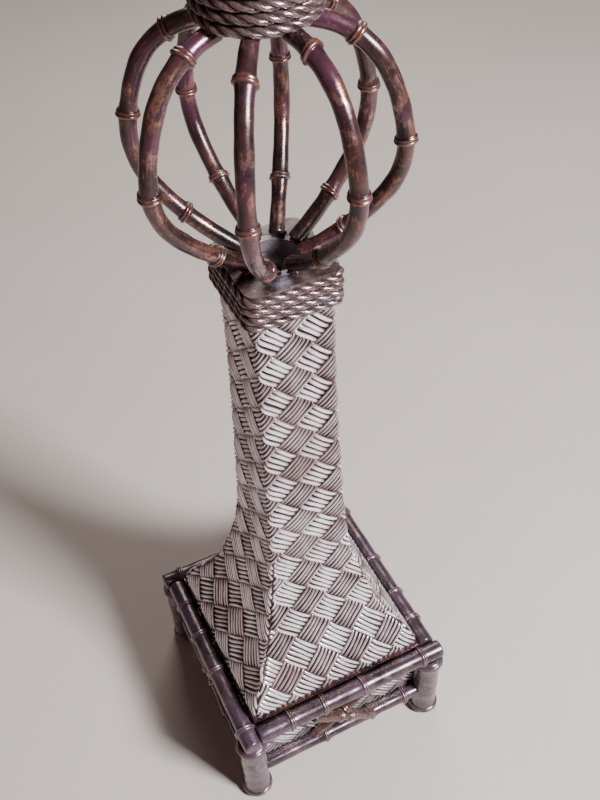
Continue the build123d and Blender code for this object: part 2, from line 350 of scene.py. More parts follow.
def bronzed(name, dark, warm, plum, streak_amount, edge_amount, silver):
    """Dark bronze paint, mottled plum and brown, with copper and silver where it is rubbed, and painted
    shade, near black, at the bottom of grooves. The amounts say how much is rubbed at random and on the
    crests, and silver how much of that is silver and not copper; on the rope the copper and silver on the
    crests is also a painted glint."""
    metallic = 0.6
    paint = Paint(name, metallic, 0.4, coat=0.45)
    blotch = paint.noise(75, 5, 0.6)
    base = paint.ramp(blotch, [(0.34, dark), (0.66, warm)])
    base = paint.mix(paint.span(paint.noise(38, 3), 0.46, 0.66, 0.0, 0.85), base, plum)
    grain = paint.attribute("grain", "Vector")
    streak = paint.noise(1.5, 6, 0.7, vector=grain, distortion=0.8)
    speck = paint.noise(420, 3, 0.7)
    cloud = paint.math("MULTIPLY", paint.noise(95, 6, 0.72, distortion=0.5), 0.6)
    patch = paint.math("ADD", cloud, paint.math("MULTIPLY", streak, 0.4))
    rub = paint.math("MULTIPLY", paint.span(patch, 0.52, 0.64, 0.0, streak_amount),
                     paint.span(speck, 0.4, 0.62, 0.3, 1.0))
    crest = paint.attribute("crest", "Fac")
    # Rubbing on the crests: worn paint on the nodes, and on the rope partly painted glints
    edge = paint.math("MULTIPLY", paint.span(crest, 0.62, 1.0, 0.0, edge_amount),
                      paint.span(speck, 0.35, 0.62, 0.15, 1.0))
    rub = paint.math("MAXIMUM", rub, edge)
    share = paint.span(paint.noise(58, 3, 0.6), 0.3, 0.7, silver + 0.35, silver - 0.35)
    rubbed = paint.mix(share, COPPER_RUB_AND_GLINT, SILVER_RUB_AND_GLINT)
    colour = paint.mix(rub, base, rubbed)
    # Painted shade: near black where crest is low, down the inner sides of the rope's strands
    colour = paint.mix(paint.span(crest, 0.0, 0.3, 0.7, 0.0), colour, GROOVE_SHADE)
    paint.colour(colour)
    paint.link(paint.span(rub, 0.0, 0.6, metallic - 0.15, 1.0), paint.shader.inputs["Metallic"])
    paint.roughness(paint.span(paint.noise(210, 4), 0.3, 0.7, 0.17, 0.36))
    paint.bump(paint.mix(0.5, paint.noise(900, 4), streak), 0.4, 0.0004)
    return paint.material


def silvered(name):
    """Silver-lilac paint on the reeds' crowns and a brown wash in the grooves, with painted shade, near
    black, down the strands' sides and a painted highlight, near white, along their tops.
    """
    paint = Paint(name, 0.65, 0.36, coat=0.25)
    crest = paint.attribute("crest", "Fac")
    grain = paint.attribute("grain", "Vector")
    streak = paint.noise(3.5, 5, 0.65, vector=grain)
    wear_and_painted_light = paint.math("ADD", crest, paint.span(streak, 0.3, 0.7, -0.16, 0.12))
    wear_and_painted_light = paint.math("ADD", wear_and_painted_light, paint.span(paint.noise(30, 3), 0.35, 0.65, -0.12, 0.06))
    # The ramp runs from near-black painted shade in the grooves to a near-white painted highlight on the
    # crowns
    colour = paint.ramp(wear_and_painted_light, [
        (0.07, (0.022, 0.011, 0.012)), (0.30, (0.105, 0.064, 0.064)),
        (0.54, (0.39, 0.312, 0.326)), (0.84, (0.94, 0.92, 0.96))])
    stain = paint.span(paint.noise(17, 4), 0.50, 0.74, 0.0, 0.5)
    paint.colour(paint.mix(stain, colour, REED_STAIN))
    paint.roughness(paint.span(streak, 0.3, 0.7, 0.22, 0.38))
    paint.bump(paint.mix(0.45, streak, paint.noise(1100, 3)), 0.3, 0.0003)
    return paint.material


def groove(name):
    """Dark brown ground between the reeds: a brown wash and painted shade in the gaps of the weave."""
    paint = Paint(name, 0.1, 0.7)
    stops = [(0.3, (0.025, 0.014, 0.014)), (0.7, (0.070, 0.042, 0.040))]
    paint.colour(paint.ramp(paint.noise(120, 4), stops))
    paint.bump(paint.noise(700, 3), 0.4, 0.0004)
    return paint.material


def metal(name, dark, light):
    """Turned sheet metal with fine circular brushing and a little tarnish."""
    paint = Paint(name, 1.0, 0.35)
    scale = paint.tree.nodes.new("ShaderNodeMapping")
    scale.inputs["Scale"].default_value = (1, 1, 60)
    paint.link(paint.place, scale.inputs["Vector"])
    brushed = paint.noise(60, 4, 0.6, vector=scale.outputs["Vector"])
    tarnish = paint.noise(55, 5, 0.6)
    base = paint.ramp(tarnish, [(0.35, dark), (0.65, light)])
    bright = tuple(c * 1.25 for c in light)
    paint.colour(paint.mix(paint.span(brushed, 0.35, 0.65, 0.0, 0.35), base, bright))
    paint.roughness(paint.span(tarnish, 0.3, 0.7, 0.25, 0.45))
    paint.bump(brushed, 0.12, 0.0002)
    return paint.material


def cast(name, dark, light, patchy):
    """Bronze paint on plain metal: brown with bluish-grey patches and a fine pitted grain.
    patchy is how much of the grey there is outside its patches."""
    paint = Paint(name, 0.55, 0.45, coat=0.15)
    base = paint.ramp(paint.noise(60, 5, 0.62), [(0.34, dark), (0.64, light)])
    patch = paint.span(paint.noise(45, 4, 0.6), 0.5, 0.62, patchy, 0.75)
    base = paint.mix(patch, base, CAST_BLUE)
    rub = paint.span(paint.noise(330, 4, 0.7), 0.56, 0.72, 0.0, 0.4)
    paint.colour(paint.mix(rub, base, CAST_RUB))
    paint.roughness(paint.span(paint.noise(150, 4), 0.3, 0.7, 0.32, 0.58))
    paint.bump(paint.mix(0.5, paint.noise(800, 4), paint.noise(260, 5, 0.7)), 0.7, 0.0007)
    return paint.material


def fibre(name, dark, light, scale):
    """Cotton or felt with a fine fibrous surface."""
    paint = Paint(name, 0.0, 0.9, specular=0.2)
    paint.shader.inputs["Sheen Weight"].default_value = 0.3
    paint.colour(paint.ramp(paint.noise(scale, 5, 0.7), [(0.3, dark), (0.7, light)]))
    paint.bump(paint.noise(scale * 1.5, 4), 0.6, 0.0006)
    return paint.material


BRONZE = bronzed(
    "bronzed_rib", (0.009, 0.006, 0.008), (0.070, 0.028, 0.024), (0.088, 0.025, 0.054),
    streak_amount=1.00, edge_amount=0.50, silver=0.10)
PLUM = bronzed(
    "plum_cane", (0.024, 0.015, 0.022), (0.085, 0.052, 0.064), (0.095, 0.056, 0.088),
    streak_amount=0.45, edge_amount=0.50, silver=0.50)
# On the rope the silver and copper on the strands' crests is partly rubbed paint and partly painted
# glints
ROPE = bronzed(
    "bronzed_rope", (0.016, 0.010, 0.011), (0.080, 0.050, 0.048), (0.070, 0.036, 0.050),
    streak_amount=0.30, edge_amount=0.85, silver=0.55)
COPPERY = bronzed(
    "coppery_twig", (0.030, 0.018, 0.020), (0.120, 0.060, 0.048), (0.110, 0.060, 0.080),
    streak_amount=0.90, edge_amount=0.75, silver=0.30)
CAST = cast("bronzed_casting", (0.022, 0.013, 0.013), (0.085, 0.050, 0.046), 0.0)
# Painted light: a lighter copy of the casting paint for the dish, which lies in the shade of the crown
# and ribs
DISH_PAINTED_LIGHT = cast("bronzed_dish", (0.100, 0.070, 0.068), (0.220, 0.165, 0.155), 0.25)
REED = silvered("silvered_reed")
GROUND = groove("reed_ground")
STEEL = metal("bronzed_steel", (0.16, 0.10, 0.08), (0.30, 0.215, 0.18))
ZINC = metal("zinc_steel", (0.42, 0.42, 0.43), (0.62, 0.62, 0.63))
BRASS = metal("aged_brass", (0.30, 0.19, 0.07), (0.62, 0.44, 0.20))
COTTON = fibre("wick_cotton", (0.62, 0.56, 0.44), (0.86, 0.82, 0.72), 900)
FELT = fibre("pad_felt", (0.03, 0.024, 0.02), (0.10, 0.08, 0.07), 700)
TIMBER = fibre("core_timber", (0.26, 0.17, 0.09), (0.52, 0.38, 0.22), 120)


# ---- Woven reed ---------------------------------------------------------------------------
def outline_curve():
    """The column's outline as (distance up the face, half-width, height), finely sampled from
    a smooth curve through its knots."""
    knots = np.array(COLUMN_OUTLINE)
    along = np.concatenate([[0], np.cumsum(np.hypot(*np.diff(knots, axis=0).T))])
    count = len(along)
    gaps = np.diff(along)
    table = np.zeros((count, count))
    right = np.zeros((count, 2))
    for k in range(1, count - 1):
        table[k, k - 1:k + 2] = gaps[k - 1], 2 * (gaps[k - 1] + gaps[k]), gaps[k]
        right[k] = 6 * ((knots[k + 1] - knots[k]) / gaps[k] - (knots[k] - knots[k - 1]) / gaps[k - 1])
    table[0, :3] = gaps[1], -(gaps[0] + gaps[1]), gaps[0]
    table[-1, -3:] = gaps[-1], -(gaps[-2] + gaps[-1]), gaps[-2]
    bend = np.linalg.solve(table, right)
    fine = np.linspace(0, along[-1], 1200)
    part = np.clip(np.searchsorted(along, fine, side="right") - 1, 0, count - 2)
    gap = gaps[part][:, None]
    ahead = (along[part + 1] - fine)[:, None]
    behind = (fine - along[part])[:, None]
    curve = (bend[part] * ahead ** 3 + bend[part + 1] * behind ** 3) / (6 * gap)
    curve += (knots[part] / gap - bend[part] * gap / 6) * ahead
    curve += (knots[part + 1] / gap - bend[part + 1] * gap / 6) * behind
    face = np.concatenate([[0], np.cumsum(np.hypot(*np.diff(curve, axis=0).T))])
    return face, curve[:, 0], curve[:, 1] + DECK_TOP


FACE_V, FACE_HALF, FACE_Z = outline_curve()
SLOPE_HALF = np.gradient(FACE_HALF, FACE_V)
SLOPE_Z = np.gradient(FACE_Z, FACE_V)
FACE_LENGTH = FACE_V[-1]
EDGE_R = 2.4                # rounding of the column's four edges
EDGE_WRAP = 1.5             # how far strands on the flare reach round one edge
BLOCK_STRANDS = 6           # strands side by side in a block
GROUND_H = -1.5             # how far the ground lies behind the face
FIRST_ROW = 24.0            # face distance of the first full row of crossings
ROW_PITCH = 26.8            # spacing of rows at the foot
ROW_SHRINK = 0.982          # each row is this much closer than the one below
COLUMN_PITCH = 26.5         # spacing of columns on the flare
DRIFT_FOOT, DRIFT_HEAD = -8.0, -1.0     # sideways place of the middle column
SHAFT_MARGIN = 1.0          # it counts as shaft where the half-width is under the pitch and this
ROWS, COLUMNS = range(-2, 28), range(-7, 8)     # half rows and half columns that are tried
PANEL_ROWS = range(-2, 8)
BAND_TOP = 3.0              # the flat border at the foot reaches this far up the face
BORDER_V = np.array([0.0, 0.6, 1.6, 2.6, BAND_TOP])     # the border's section: up the face
BORDER_H = np.array([-0.2, 0.1, 0.3, 0.1, -1.2])        # and out of it


def half_at(v):
    """Half-width of the column at a face distance."""
    return np.interp(v, FACE_V, FACE_HALF)


def on_column(x, v, h):
    """A point of the front face: x across, v up along the face, h out of it. Beyond an edge
    it goes round the rounded corner on to the next face."""
    half = half_at(v)
    out = h * np.interp(v, FACE_V, SLOPE_Z)
    z = np.interp(v, FACE_V, FACE_Z) - h * np.interp(v, FACE_V, SLOPE_HALF)
    side = np.sign(x)
    flat = half - EDGE_R
    past = np.abs(x) - flat
    angle = np.clip(past / (2 * EDGE_R), 0, 1) * np.pi / 2
    beyond = np.clip(past - 2 * EDGE_R, 0, None)
    px = np.minimum(np.abs(x), flat) + (EDGE_R + out) * np.sin(angle)
    py = -flat - (EDGE_R + out) * np.cos(angle) + beyond
    return np.stack([side * px, py, z], -1)


def row_to_v(row):
    """Face distance of a row number; whole numbers are crossings of the rising strands."""
    return FIRST_ROW + ROW_PITCH * (1 - ROW_SHRINK ** row) / (1 - ROW_SHRINK)


def column_to_x(column, v):
    """Place across the face of a column number at a face distance."""
    drift = DRIFT_FOOT + (DRIFT_HEAD - DRIFT_FOOT) * v / FACE_LENGTH
    return drift + column * np.minimum(half_at(v), COLUMN_PITCH)


STRAND_RISE = 1.3           # half-height of a strand
STRAND_DEEP = -0.95         # depth of a strand's axis at the middle of its block
STRAND_DIVE = 1.25          # how much deeper it is where it goes under
STRAND_FILL = 0.94          # share of its lane that a strand fills
STRAND_OVER = 0.07          # how far it reaches under the next block, in block widths
STRAND_FROM = math.radians(-28)     # the part of a strand's round section that is modelled
STRAND_TO = math.radians(208)
STRAND_SHIFT = 0.006        # seeded faults: sideways, in block widths
STRAND_LIFT = 0.07          # up or down
STRAND_SLIP = 0.015         # at its ends, in block widths
RISING_SHADE = 0.72         # painted shade: the rising blocks are darker and browner than the falling ones, as light falls less on them


def add_block(shape, column, row, rising, to_xv, to_point, inside, strands=BLOCK_STRANDS):
    """One visible block of side-by-side strands at a crossing of the weave. to_xv turns a
    column and row into a place on the face, and to_point turns that into space."""
    reach = 0.5 + STRAND_OVER
    along = reach * np.sin(np.linspace(-np.pi / 2, np.pi / 2, 12))
    angle = np.linspace(STRAND_FROM, STRAND_TO, 9)
    flip = 1 if rising else -1
    for number in range(strands):
        middle = (number + 0.5) / strands - 0.5
        jitter = RANDOM.normal(0, STRAND_SHIFT)
        lift = RANDOM.normal(0, STRAND_LIFT)
        start = -reach + RANDOM.uniform(-STRAND_SLIP, STRAND_SLIP)
        stop = reach + RANDOM.uniform(-STRAND_SLIP, STRAND_SLIP)
        tries = np.linspace(start, stop, 25)
        x, v = to_xv(column + 0.5 * (tries + middle), row + 0.5 * flip * (tries - middle))
        keep = inside(x, v)
        if keep.sum() < 5:
            continue
        first, last = np.flatnonzero(keep)[[0, -1]]
        cut_start, cut_stop = tries[first], tries[last]
        a = cut_start + (cut_stop - cut_start) * (along + reach) / (2 * reach)
        bend = 0.012 * np.sin(a * 5 + number + column)
        width = (0.5 / strands) * STRAND_FILL
        c = middle + jitter + bend[:, None] + width * np.cos(angle)[None]
        a_grid = np.broadcast_to(a[:, None], c.shape)
        x, v = to_xv(column + 0.5 * (a_grid + c), row + 0.5 * flip * (a_grid - c))
        reach_now = np.abs((a - (cut_start + cut_stop) / 2) / (cut_stop - cut_start) * 2)
        under = reach_now ** 3.2
        depth = STRAND_DEEP + lift - STRAND_DIVE * under
        round_end = np.sqrt(np.clip(1 - np.clip((reach_now - 0.9) / 0.1, 0, 1) ** 2, 0.02, 1))
        h = depth[:, None] + STRAND_RISE * np.sin(angle)[None] * round_end[:, None]
        points = to_point(x, v, h)
        # Painted light: crest peaks along the strand's top as a painted highlight and drops where the
        # strand dives under the next block as painted shade
        top = np.clip(np.sin(angle), 0, 1)[None] ** 1.2
        crest = np.clip(0.06 + 0.94 * top * (1 - 0.6 * under[:, None]), 0, 1)
        # Painted shade: the rising blocks are darker
        if rising:
            crest = crest * RISING_SHADE
        seed = RANDOM.uniform(0, 50)
        grain = np.stack(np.broadcast_arrays(
            a_grid * 0.9 + seed, np.cos(angle)[None] * 0.9 + seed, np.sin(angle)[None] * 0.9), -1)
        faces = grid_faces(len(a), len(angle), False)[:, ::-flip]
        shape.add(points, faces, crest, grain)


def column_weave():
    """All four woven faces of the column, strand by strand, with the ground behind them."""
    strands = Shape()
    ground = Shape()
    x_of = np.array([-1.0, -0.98, -0.9, -0.6, -0.3, 0.0, 0.3, 0.6, 0.9, 0.98, 1.0])
    v_of = np.linspace(0, FACE_LENGTH, 90)

    def to_xv(column, row):
        v = row_to_v(row)
        return column_to_x(column, v), v

    def on_flare(x, v):
        half = half_at(v)
        return (x < half + EDGE_WRAP) & (x > EDGE_WRAP - half) & (v > BAND_TOP) & (v < FACE_LENGTH)

    def on_shaft(x, v):
        return (v > BAND_TOP) & (v < FACE_LENGTH)

    for angle in SIDES.values():
        def to_point(x, v, h):
            return turn_z(on_column(x, v, h), angle)
        # The dark ground behind the strands: painted shade in the weave's gaps
        grid_v, grid_x = np.meshgrid(v_of, x_of, indexing="ij")
        points = to_point(grid_x * half_at(grid_v), grid_v, np.full(grid_v.shape, GROUND_H))
        ground.add(points, grid_faces(len(v_of), len(x_of), False), 0.2, points * 0.05)
        for half_row in ROWS:
            row = half_row / 2
            rising = half_row % 2 == 0
            shaft = half_at(row_to_v(row)) < COLUMN_PITCH + SHAFT_MARGIN
            inside = on_shaft if shaft else on_flare
            count = BLOCK_STRANDS - 1 if shaft and not rising else BLOCK_STRANDS
            for half_column in COLUMNS:
                if (half_column % 2 == 0) != rising:
                    continue
                if shaft and not -2 < half_column <= 2:
                    continue
                add_block(strands, half_column / 2, row, rising, to_xv, to_point, inside, count)
    return strands, ground


PANEL_OUT = -corner_of("side_panel_front")[0][1]
PANEL_FACE, PANEL_BACK = 1.4, 2.5       # front and back of the ground, behind the panel's face
PANEL_MARGIN = 0.3          # the weave stops this far from the panel's top and bottom
PANEL_FIRST_ROW = 6.0       # height of the first crossings above that
PANEL_RELIEF = 0.8          # how flat the panels are against the column
PANEL_SET_BACK = 0.5        # how far the weave is set back from the panel's face


def panel_weave(half_length, low, high):
    """The woven panel of the front side, strand by strand."""
    strands = Shape()
    face_y = -PANEL_OUT

    def to_xv(column, row):
        return column * COLUMN_PITCH, low + PANEL_FIRST_ROW + row * ROW_PITCH

    def to_point(x, v, h):
        return np.stack([x, face_y - h * PANEL_RELIEF + PANEL_SET_BACK, v], -1)

    def inside(x, v):
        return (np.abs(x) < half_length) & (v > low) & (v < high)

    for half_row in PANEL_ROWS:
        rising = half_row % 2 == 0
        for half_column in COLUMNS:
            if (half_column % 2 == 0) == rising:
                add_block(strands, half_column / 2, half_row / 2, rising, to_xv, to_point, inside)
    return strands


def make_weave():
    """Column cover, its border at the foot and the four side panels."""
    strands, ground = column_weave()
    strands.piece("column_weave", REED, "woven_cover", slot="silvered_reed")
    ground.piece("column_ground", GROUND, "woven_cover", slot="silvered_reed")
    border = Shape()
    across = np.linspace(-1, 1, 21)
    grid_v, grid_x = np.meshgrid(BORDER_V, across, indexing="ij")
    grid_h = np.broadcast_to(BORDER_H[:, None], grid_v.shape)
    for angle in SIDES.values():
        points = turn_z(on_column(grid_x * half_at(grid_v), grid_v, grid_h), angle)
        border.add(points, grid_faces(len(BORDER_V), len(across), False), 0.55, points * 0.02)
    border.piece("column_border", BRONZE, "woven_cover", slot="silvered_reed")
    for side, angle in SIDES.items():
        node = f"side_panel_{side}"
        low, high = corner_of(node)
        half_length = max(high[0], high[1]) if side in ("front", "back") else PANEL_OUT - PANEL_BACK
        panel = panel_weave(half_length, low[2] + PANEL_MARGIN, high[2] - PANEL_MARGIN)
        panel.points = [turn_z(points, angle) for points in panel.points]
        panel.piece(f"panel_weave_{side}", REED, node, slot="silvered_reed")
        # A dark box behind the panel's weave: painted shade in its gaps
        back = Shape()
        box_x = (-half_length, half_length)
        box_y = (-PANEL_OUT + PANEL_FACE, -PANEL_OUT + PANEL_BACK)
        corners = np.array([(x, y, z) for x in box_x for y in box_y for z in (low[2], high[2])])
        faces = [(0, 1, 3, 2), (4, 6, 7, 5), (0, 4, 5, 1), (2, 3, 7, 6), (0, 2, 6, 4), (1, 5, 7, 3)]
        back.add(turn_z(corners, angle), faces, 0.2, corners * 0.05)
        back.piece(f"panel_ground_{side}", GROUND, node, slot="silvered_reed")


# ---- Plinth -------------------------------------------------------------------------------
# All of it is worked out for the front, then turned to the other sides.
POST_LOW, POST_HIGH = corner_of("corner_post_front_left")
POST_AXIS = (POST_LOW[:2] + POST_HIGH[:2]) / 2
RAIL_LOW, RAIL_HIGH = corner_of("top_rail_front")
UNDER_LOW, UNDER_HIGH = corner_of("under_rail_front")
BOTTOM_LOW, BOTTOM_HIGH = corner_of("bottom_rail_front")
POST_R = 9.2
POST_NODES = (3.4, 4.2)     # a post's nodes: from its foot, and from its head
POST_SIDES = 32
RAIL_INSET = 5.0            # a thin or bottom rail ends this far inward of a post's middle
# Nodes of the front rails, measured from the left ends of their CAD nodes
TOP_NODES = (24.2, 49.6, 80.4, 128.0)
UNDER_NODES = (33.0, 63.0, 94.0, 122.0)
BOTTOM_NODES = (48.5, 85.5, 113.5)
NODE_SLIP = 3.0             # seeded slip of the other sides' nodes
TWIG_R = 3.6
TWIG_SIDES = 24
TWIG_INSET = 3.0            # a twig's end lies this far inside its CAD node
TWIG_RISE = (6.5, 1.5)      # its ends, above the undersides of the bottom and thin rails
TWIG_NODES = (0.42, 0.58)   # a twig's nodes, as shares of its length


def rail_path(low, high, start, end):
    """Middle line of a front rail, from its box and the places of its two ends."""
    y, z = (low[1] + high[1]) / 2, (low[2] + high[2]) / 2
    return straight((start, y, z), (end, y, z))


def make_plinth():
    """Bamboo posts, rails and crossed twigs."""
    length = POST_HIGH[2] - POST_LOW[2]
    places = (POST_NODES[0], length - POST_NODES[1])
    for index, (corner, angle) in enumerate(CORNERS.items()):
        shape = Shape()
        path = turn_z(straight((*POST_AXIS, POST_LOW[2]), (*POST_AXIS, POST_HIGH[2])), angle)
        add_cane(shape, path, POST_R, places, index * 1.7, 1.15, POST_SIDES)
        shape.piece(f"bamboo_post_{corner}", PLUM, f"corner_post_{corner}", slot="bronzed_bamboo")
    inner = (POST_AXIS[0] + RAIL_INSET, -POST_AXIS[0] - RAIL_INSET)
    runs = (        # name, CAD box, ends, how much thinner than the box, nodes, size of the nodes
        ("top_rail", RAIL_LOW, RAIL_HIGH, (RAIL_LOW[0], RAIL_HIGH[0]), 0.25, TOP_NODES, 1.0),
        ("under_rail", UNDER_LOW, UNDER_HIGH, inner, 0.1, UNDER_NODES, 0.75),
        ("bottom_rail", BOTTOM_LOW, BOTTOM_HIGH, inner, 0.25, BOTTOM_NODES, 0.95),
    )
    for index, (side, angle) in enumerate(SIDES.items()):
        slip = RANDOM.uniform(-NODE_SLIP, NODE_SLIP, 4) if index else np.zeros(4)
        for run, low, high, ends, thinner, nodes, scale in runs:
            shape = Shape()
            radius = (high[2] - low[2]) / 2 - thinner
            path = turn_z(rail_path(low, high, *ends), angle)
            places = [node - (ends[0] - low[0]) + slip[k] for k, node in enumerate(nodes)]
            add_cane(shape, path, radius, places, index * 2.3 + radius, scale)
            shape.piece(f"bamboo_{run}_{side}", PLUM, f"{run}_{side}", slot="bronzed_bamboo")
        for twig, sign in (("rising_twig", 1), ("falling_twig", -1)):
            low, high = corner_of(f"{twig}_front")
            y = (low[1] + high[1]) / 2
            reach = high[0] - TWIG_INSET
            start = (-reach * sign, y, BOTTOM_LOW[2] + TWIG_RISE[0])
            end = (reach * sign, y, UNDER_LOW[2] + TWIG_RISE[1])
            shape = Shape()
            path = turn_z(straight(start, end), angle)
            places = [lengths(path)[-1] * share for share in TWIG_NODES]
            add_cane(shape, path, TWIG_R, places, index + sign, 0.9, TWIG_SIDES)
            shape.piece(f"bamboo_{twig}_{side}", COPPERY, f"{twig}_{side}", slot="bronzed_bamboo")


# ---- Globe --------------------------------------------------------------------------------
RIB_TURN = 13.4             # degrees from the +X side to the first rib
RIB_R = 4.0
# Ends of a rib's four arcs: distance from the globe's axis, and height
RIB_LINE = [(13.0, 418.15), (53.0, 453.5), (61.3, 482.5), (52.5, 513.5), (19.0, 535.3)]
RIB_LEAVES = math.radians(30)       # a rib's slope at its foot
RIB_NODES = (               # places of each rib's nodes, as shares of its length from its foot
    (0.185, 0.539, 0.88), (0.19, 0.566, 0.87), (0.228, 0.514, 0.88), (0.223, 0.589, 0.877),
    (0.155, 0.506, 0.885), (0.12, 0.494, 0.857), (0.188, 0.524, 0.907), (0.175, 0.524, 0.865),
)
BEADS = 5                   # weld beads round each rib's foot
BEAD_SPREAD = 13            # seeded places of the beads: degrees either way
BEAD_OUT = (15.2, 18.5)     # distance from the globe's axis
BEAD_UP = (0.5, 1.4)        # height above the plate
BEAD_SMALL, BEAD_LARGE = (1.6, 1.6, 0.9), (2.8, 2.8, 1.5)


def rib_line():
    """Middle line of a rib in the XZ plane: arcs that meet without a kink."""
    heading = RIB_LEAVES
    points = [np.array(RIB_LINE[0])]
    for start, end in zip(RIB_LINE[:-1], RIB_LINE[1:]):
        chord = np.subtract(end, start)
        size = np.linalg.norm(chord)
        bend = (math.atan2(chord[1], chord[0]) - heading + math.pi) % (2 * math.pi) - math.pi
        radius = size / (2 * math.sin(bend))
        for step in np.linspace(0, 2 * bend, 25)[1:]:
            turned = heading + step
            points.append(np.array(start) + radius * np.array([
                math.sin(turned) - math.sin(heading), math.cos(heading) - math.cos(turned)]))
        heading += 2 * bend
    line = np.array(points)
    return np.stack([line[:, 0], np.zeros(len(line)), line[:, 1]], -1)


def add_lump(shape, centre, radii, seed):
    """Small uneven bead of metal."""
    theta = np.linspace(0, np.pi, 9)[:, None]
    phi = np.linspace(0, 2 * np.pi, 14, endpoint=False)[None]
    uneven = 1 + 0.14 * np.sin(3 * phi + seed) * np.sin(theta) + 0.1 * np.cos(2 * phi + 4 * theta + seed)
    ball = np.stack([
        uneven * np.sin(theta) * np.cos(phi), uneven * np.sin(theta) * np.sin(phi),
        np.broadcast_to(np.cos(theta), uneven.shape)], -1)
    points = np.asarray(centre) + ball * np.asarray(radii)
    shape.add(points, grid_faces(9, 14, True)[:, ::-1], 0.5, points * 0.05)


def make_globe():
    """Eight bamboo ribs with weld beads at their feet."""
    line = rib_line()
    line = resample(line, np.linspace(0, lengths(line)[-1], 120))
    length = lengths(line)[-1]
    for number in range(8):
        shape = Shape()
        path = turn_z(line, RIB_TURN + 45 * number)
        nodes = [length * place for place in RIB_NODES[number]]
        add_cane(shape, path, RIB_R, nodes, number * 1.3, 0.95, tilt=0.7)
        for bead in range(BEADS):
            turn = RIB_TURN + 45 * number + RANDOM.uniform(-BEAD_SPREAD, BEAD_SPREAD)
            spot = (RANDOM.uniform(*BEAD_OUT), 0, PLATE_TOP + RANDOM.uniform(*BEAD_UP))
            radii = RANDOM.uniform(BEAD_SMALL, BEAD_LARGE)
            add_lump(shape, turn_z(spot, turn), radii, bead + number)
        shape.piece(f"bamboo_rib_{number + 1}", BRONZE, f"rib_{number + 1}", slot="bronzed_metal")


# ---- Ropes --------------------------------------------------------------------------------
ROPE_R = 2.5
STRAND_R = 1.34
STRAND_SIDES = 18
YARNS = 6                   # yarns that show round a strand
LAY = 21.0                  # length of rope in which a strand goes once round
YARN_TURN = 0.9             # how far the yarns turn round a strand, in radians a millimetre
COLLAR_CORNER = 5.0         # radius of the collar's corners
TURN_POINTS = 400           # points in one turn of rope
STEP_SHARE = 0.055          # half the share of a turn in which the rope steps up
LOOSE_SHARE = 0.06          # share of a turn left off at each end of the rope


def square_turn(half, corner):
    """One turn round a square with rounded corners, starting at the middle of the back."""
    arm = half - corner
    points = [(0, half)]
    for centre, first in (((-arm, arm), 90), ((-arm, -arm), 180), ((arm, -arm), 270), ((arm, arm), 360)):
        for angle in np.radians(np.linspace(first, first + 90, 9)):
            points.append((centre[0] + corner * math.cos(angle), centre[1] + corner * math.sin(angle)))
    points.append((0, half))
    flat = np.array([(x, y, 0.0) for x, y in points])
    return resample(flat, np.linspace(0, lengths(flat)[-1], TURN_POINTS))


def round_turn(radius):
    """One turn round a circle, starting at the back."""
    angle = np.radians(90 + np.linspace(0, 360, TURN_POINTS))
    return np.stack([radius * np.cos(angle), radius * np.sin(angle), np.zeros(TURN_POINTS)], -1)


def wound(turn, turns, bottom):
    """Rope wound in level turns, each stepping up on to the one below at the back."""
    flat = np.concatenate([turn[:-1]] * turns)
    place = np.arange(len(flat)) / (len(turn) - 1)
    nearest = np.round(place)
    step = np.clip((place - nearest) / STEP_SHARE * 0.5 + 0.5, 0, 1)
    level = np.clip(nearest - 1 + step * step * (3 - 2 * step), 0, turns - 1)
    flat[:, 2] = bottom + ROPE_R + 2 * ROPE_R * level
    kept = flat[(place > LOOSE_SHARE) & (place < turns - LOOSE_SHARE)]
    return resample(kept, np.arange(0, lengths(kept)[-1], 0.62))


def add_rope(shape, path):
    """Three twisted strands of fine yarns along a path."""
    tangent = np.gradient(path, axis=0)
    tangent /= np.linalg.norm(tangent, axis=1)[:, None]
    up = np.array([0.0, 0.0, 1.0])
    out = np.cross(tangent, up)
    out /= np.linalg.norm(out, axis=1)[:, None]
    side = np.cross(tangent, out)
    along = lengths(path)
    angle = np.linspace(0, 2 * np.pi, STRAND_SIDES, endpoint=False)
    lay = YARNS * angle[None] - along[:, None] * YARN_TURN
    yarn = np.abs(np.cos(lay / 2))
    crest = np.clip(0.5 + 0.5 * np.cos(angle)[None] - 0.35 * (1 - yarn), 0, 1)
    radius = STRAND_R * (0.90 + 0.13 * yarn)
    for strand in range(3):
        turn = 2 * np.pi * along / LAY + 2 * np.pi * strand / 3
        normal = out * np.cos(turn)[:, None] + side * np.sin(turn)[:, None]
        centres = path + (ROPE_R - STRAND_R) * normal
        heading = np.gradient(centres, axis=0)
        heading /= np.linalg.norm(heading, axis=1)[:, None]
        binormal = np.cross(heading, normal)
        add_tube(shape, centres, radius, STRAND_SIDES, crest, strand * 7.0, (normal, binormal))


def make_ropes():
    """Rope collar at the column's head and rope lashing on the crown."""
    square = square_turn(COLLAR_HIGH[0] - ROPE_R, COLLAR_CORNER)
    circle = round_turn(CROWN_HIGH[0] - ROPE_R)
    ropes = (
        ("collar_lashing", "collar_rope", square, COLLAR_LOW[2], COLLAR_HIGH[2]),
        ("crown_lashing", "crown_rope", circle, CROWN_LOW[2], CROWN_HIGH[2]),
    )
    for name, node, turn, bottom, top in ropes:
        shape = Shape()
        add_rope(shape, wound(turn, round((top - bottom) / (2 * ROPE_R)), bottom))
        shape.piece(name, ROPE, node, slot="bronzed_rope")


